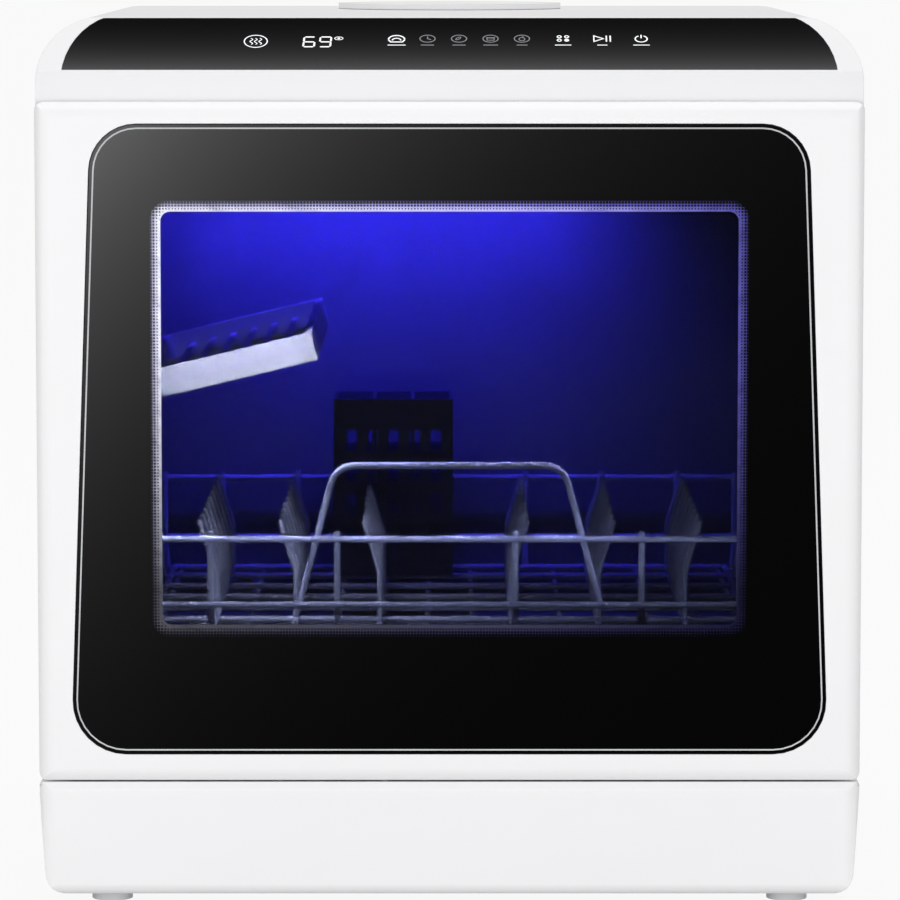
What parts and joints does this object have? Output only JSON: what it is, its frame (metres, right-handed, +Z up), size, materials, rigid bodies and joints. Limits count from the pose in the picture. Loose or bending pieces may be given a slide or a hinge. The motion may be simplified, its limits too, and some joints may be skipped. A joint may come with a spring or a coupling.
{
  "type": "countertop dishwasher",
  "caption": "Countertop dishwasher with a drop-down glass door, a sliding wire rack, spray arms, a touch panel on a slope and a tank filled through a lidded port.",
  "frame": {"origin": "on the table, under the middle of the machine's footprint with its hose tails", "axes": "+Z up, -Y towards the person who opens the door, +X to that person's right"},
  "size_m": [0.422, 0.435, 0.4582],
  "materials": {
    "white_plastic": "satin",
    "white_steel": "satin",
    "grey_steel": "satin",
    "tub_plastic": "satin",
    "black_glass": "polished",
    "clear_glass": "polished",
    "light_diffuser": "frosted",
    "dark_plastic": "matte",
    "board_green": "satin",
    "grey_plastic": "matte",
    "tank_plastic": "translucent",
    "seal_rubber": "matte",
    "steel": "brushed",
    "coated_wire": "nylon coated"
  },
  "bodies": {
    "casing": {"base_shell": "white_plastic", "side_panel_left": "white_steel", "side_panel_right": "white_steel", "back_panel": "grey_steel", "top_cover": "white_plastic", "control_glass": "black_glass", "key_carrier": "dark_plastic", "control_board": "board_green", "tub_floor": "tub_plastic", "tub_side_left": "tub_plastic", "tub_side_right": "tub_plastic", "tub_ceiling": "tub_plastic", "tub_back_wall": "tub_plastic", "front_frame": "white_plastic", "door_gasket": "seal_rubber", "rack_rails": "steel", "sump": "dark_plastic", "filter": "tub_plastic", "wash_pump": "dark_plastic", "drain_pump": "dark_plastic", "heater": "steel", "spray_hub": "dark_plastic", "wash_ducts": "grey_plastic", "feed_pipe": "grey_plastic", "water_tank": "tank_plastic", "fill_funnel": "white_plastic", "inlet_valve": "dark_plastic", "drain_spigot": "dark_plastic", "power_gland": "dark_plastic", "fan_housing": "dark_plastic", "tub_lamp": "light_diffuser", "latch_housing": "dark_plastic", "hinge_brackets": "steel", "feet": "seal_rubber", "case_screws": "steel"},
    "door": {"door_frame": "white_plastic", "door_glass": "black_glass", "light_guide": "light_diffuser", "inner_pane": "clear_glass", "door_liner": "tub_plastic", "latch_tongue": "dark_plastic", "hinge_pins": "steel", "detergent_cup": "tub_plastic", "door_screws": "steel"},
    "detergent_cover": {"detergent_lid": "tub_plastic"},
    "rack": {"rack_floor": "coated_wire", "front_fence": "coated_wire", "back_fence": "coated_wire", "side_fence_left": "coated_wire", "side_fence_right": "coated_wire", "rack_hoop": "coated_wire", "plate_tines": "coated_wire", "glass_tines": "coated_wire", "rack_glides": "dark_plastic"},
    "shelf": {"cup_shelf": "white_plastic"},
    "basket": {"cutlery_basket": "dark_plastic"},
    "lower_arm": {"lower_spray_arm": "grey_plastic"},
    "upper_arm": {"upper_spray_arm": "grey_plastic"},
    "port_lid": {"fill_lid": "white_plastic"},
    "fan": {"fan_rotor": "dark_plastic"}
  },
  "joints": [
    {"name": "door_hinge", "type": "hinge", "parent": "casing", "child": "door", "pos_m": [0, -0.2055, 0.0825], "axis": [1, 0, 0], "range_deg": [0, 90]},
    {"name": "rack_slide", "type": "slide", "parent": "casing", "child": "rack", "axis": [0, -1, 0], "range_m": [0, 0.165]},
    {"name": "detergent_slide", "type": "slide", "parent": "door", "child": "detergent_cover", "axis": [1, 0, 0], "range_m": [0, 0.03]},
    {"name": "shelf_fold", "type": "hinge", "parent": "rack", "child": "shelf", "pos_m": [-0.168, 0, 0.2595], "axis": [0, -1, 0], "range_deg": [0, 68]},
    {"name": "basket_lift", "type": "slide", "parent": "rack", "child": "basket", "axis": [0, 0, 1], "range_m": [0, 0.11]},
    {"name": "lower_arm_spin", "type": "hinge", "parent": "casing", "child": "lower_arm", "pos_m": [0, -0.005, 0.115], "axis": [0, 0, 1], "continuous": true},
    {"name": "upper_arm_spin", "type": "hinge", "parent": "casing", "child": "upper_arm", "pos_m": [0, -0.005, 0.378], "axis": [0, 0, 1], "continuous": true},
    {"name": "port_lid_hinge", "type": "hinge", "parent": "casing", "child": "port_lid", "pos_m": [0, 0.1725, 0.4554], "axis": [-1, 0, 0], "range_deg": [0, 95]},
    {"name": "fan_spin", "type": "hinge", "parent": "casing", "child": "fan", "pos_m": [0.11, 0.182, 0.428], "axis": [0, 1, 0], "continuous": true}
  ],
  "couplings": [
    {"joint": "rack_slide", "follows": "door_hinge", "m_per_rad": 0.105}
  ]
}
